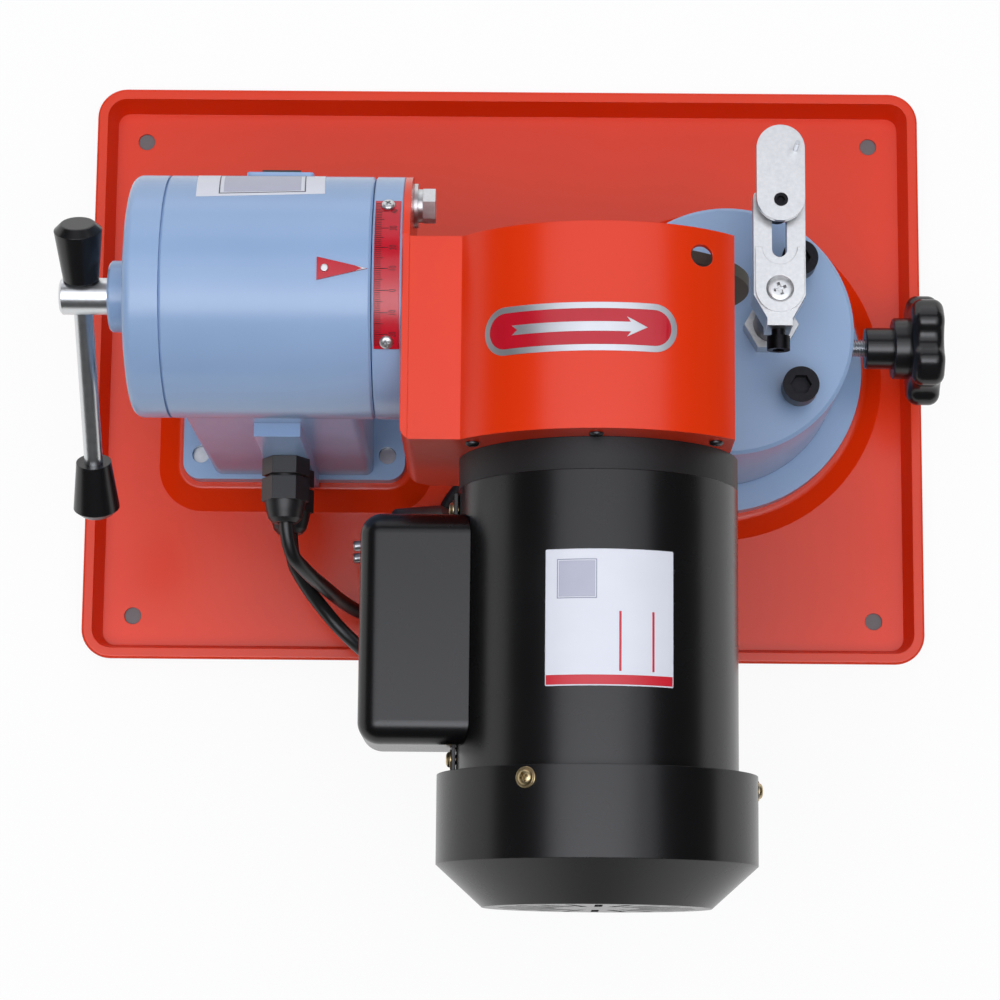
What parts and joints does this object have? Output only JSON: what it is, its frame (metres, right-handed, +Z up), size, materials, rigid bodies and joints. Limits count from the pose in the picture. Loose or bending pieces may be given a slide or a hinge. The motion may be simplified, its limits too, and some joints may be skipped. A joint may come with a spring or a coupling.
{
  "type": "saw blade sharpener",
  "caption": "Bench grinder for circular saw blades: motor head that tilts on a barrel and feeds by a screw, dish wheel under a hood, and a turntable with a tooth rest on a tray.",
  "frame": {"origin": "centre of the four bench holes on the tray's underside", "axes": "+X along the tray from the feed screw to the turntable, +Y away from the motor's fan, +Z up"},
  "size_m": [0.3963, 0.396, 0.2605],
  "materials": {
    "red_paint": "semi-gloss paint",
    "blue_paint": "semi-gloss paint on a casting",
    "black_paint": "satin paint",
    "crimson_plate": "printed plate",
    "chrome": "bright plating",
    "bright_steel": "machined",
    "black_steel": "black oxide",
    "core_steel": "stacked sheets",
    "copper": "enamelled wire",
    "bronze": "turned",
    "zinc_yellow": "yellow zinc plating",
    "can": "drawn can",
    "black_plastic": "moulded",
    "cord_black": "flexible",
    "abrasive": "bonded grit"
  },
  "bodies": {
    "base": {"tray": "red_paint", "base_bolts": "bright_steel", "housing": "blue_paint", "housing_cap": "blue_paint", "cap_screws": "black_steel", "pointer": "crimson_plate", "pointer_rivet": "bright_steel", "switch_bezel": "black_plastic", "cable_glands": "black_plastic", "turntable_base": "blue_paint", "mains_cord": "cord_black", "motor_lead": "cord_black", "cord_coil": "cord_black", "plug_cord": "cord_black", "plug_body": "cord_black", "plug_pins": "bright_steel"},
    "rocker": {"switch_rocker": "black_plastic"},
    "sleeve": {"tilt_sleeve": "bright_steel"},
    "head": {"ram": "bright_steel", "feed_nut": "bronze", "scale_ring": "blue_paint", "scale_plate": "crimson_plate", "sheet_screws": "black_steel", "motor_bracket": "red_paint", "wheel_guard": "red_paint", "bracket_bolts": "bright_steel", "motor_screws": "black_steel", "front_shield": "black_paint", "motor_shell": "black_paint", "stator_core": "core_steel", "stator_windings": "copper", "rear_shield": "black_paint", "fan_cover": "black_paint", "zinc_screws": "zinc_yellow", "motor_bearings": "bright_steel", "capacitor_cover": "black_paint", "capacitor": "can"},
    "feed": {"feed_screw": "chrome"},
    "tommy": {"tommy_bar": "chrome", "tommy_knobs": "black_plastic"},
    "rotor": {"motor_shaft": "bright_steel", "rotor_core": "core_steel", "cooling_fan": "black_plastic", "wheel_arbor": "bright_steel", "grinding_wheel": "abrasive", "wheel_flange": "bright_steel", "arbor_nut": "bright_steel"},
    "turntable": {"turntable_drum": "blue_paint", "drum_screws": "black_steel", "post_nut": "chrome"},
    "clamp": {"star_knob": "black_plastic", "knob_screw": "bright_steel"},
    "post": {"finger_post": "chrome"},
    "arm": {"finger_arm": "bright_steel", "arm_clamp_screw": "black_steel", "stop_plate": "bright_steel", "stop_plate_screw": "bright_steel"},
    "finger": {"finger_plate": "bright_steel", "finger_stud": "black_steel", "finger_pin": "bright_steel"}
  },
  "joints": [
    {"name": "switch_rock", "type": "hinge", "parent": "base", "child": "rocker", "pos_m": [-0.0933, 0.0453, 0.1865], "axis": [1, 0, 0], "range_deg": [0, 7]},
    {"name": "head_tilt", "type": "hinge", "parent": "base", "child": "sleeve", "pos_m": [-0.095, -0.006, 0.1865], "axis": [1, 0, 0], "range_deg": [-30, 30], "deforming": ["motor_lead"]},
    {"name": "head_feed", "type": "slide", "parent": "sleeve", "child": "head", "axis": [1, 0, 0], "range_m": [0, 0.012]},
    {"name": "feed_turn", "type": "hinge", "parent": "base", "child": "feed", "pos_m": [-0.15, -0.006, 0.1865], "axis": [1, 0, 0], "range_deg": [0, 1080]},
    {"name": "bar_slide", "type": "slide", "parent": "feed", "child": "tommy", "axis": [0, 0.788, 0.6157], "range_m": [0, 0.0695]},
    {"name": "wheel_spin", "type": "hinge", "parent": "head", "child": "rotor", "pos_m": [0.04, 0, 0.1865], "axis": [0, 1, 0], "continuous": true},
    {"name": "turntable_turn", "type": "hinge", "parent": "base", "child": "turntable", "pos_m": [0.1, 0.002, 0.06], "axis": [0, 0, -1], "range_deg": [-20, 20]},
    {"name": "clamp_turn", "type": "hinge", "parent": "turntable", "child": "clamp", "pos_m": [0.18, 0.002, 0.0635], "axis": [1, 0, 0], "range_deg": [0, 360]},
    {"name": "post_turn", "type": "hinge", "parent": "turntable", "child": "post", "pos_m": [0.1187, 0.0025, 0.12], "axis": [0, 0, -1], "range_deg": [-20, 20]},
    {"name": "arm_lift", "type": "slide", "parent": "post", "child": "arm", "axis": [0, 0, 1], "range_m": [0, 0.004]},
    {"name": "finger_slide", "type": "slide", "parent": "arm", "child": "finger", "axis": [0, 1, 0], "range_m": [-0.019, 0]}
  ],
  "couplings": [
    {"joint": "feed_turn", "follows": "head_feed", "rad_per_m": 1570.8}
  ]
}
